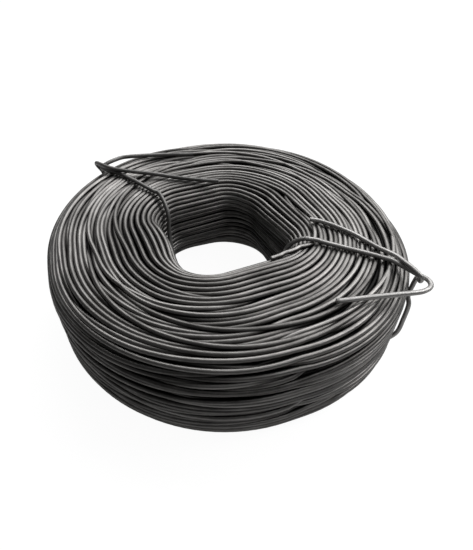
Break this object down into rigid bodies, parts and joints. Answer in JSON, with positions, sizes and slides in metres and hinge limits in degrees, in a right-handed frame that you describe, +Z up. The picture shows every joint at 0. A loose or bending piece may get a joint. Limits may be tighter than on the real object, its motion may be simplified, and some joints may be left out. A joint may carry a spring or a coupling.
{
  "type": "coil of binding wire",
  "caption": "Loose-wound coil of black annealed binding wire with a soft-square hole, held by hooked tie wires.",
  "frame": {"origin": "middle of the coil's outside, at the level of the floor that it lies on", "axes": "+Z up along the coil's winding axis, +Y away from the side the picture was taken from"},
  "size_m": [0.1284, 0.1284, 0.0408],
  "materials": {
    "annealed_wire": "black annealed, satin, slightly oily",
    "tie_wire": "annealed, satin, a little brighter where it was bent"
  },
  "bodies": {
    "root": {"wire_coil": "annealed_wire", "tie_right": "tie_wire", "tie_left": "tie_wire"}
  },
  "joints": []
}
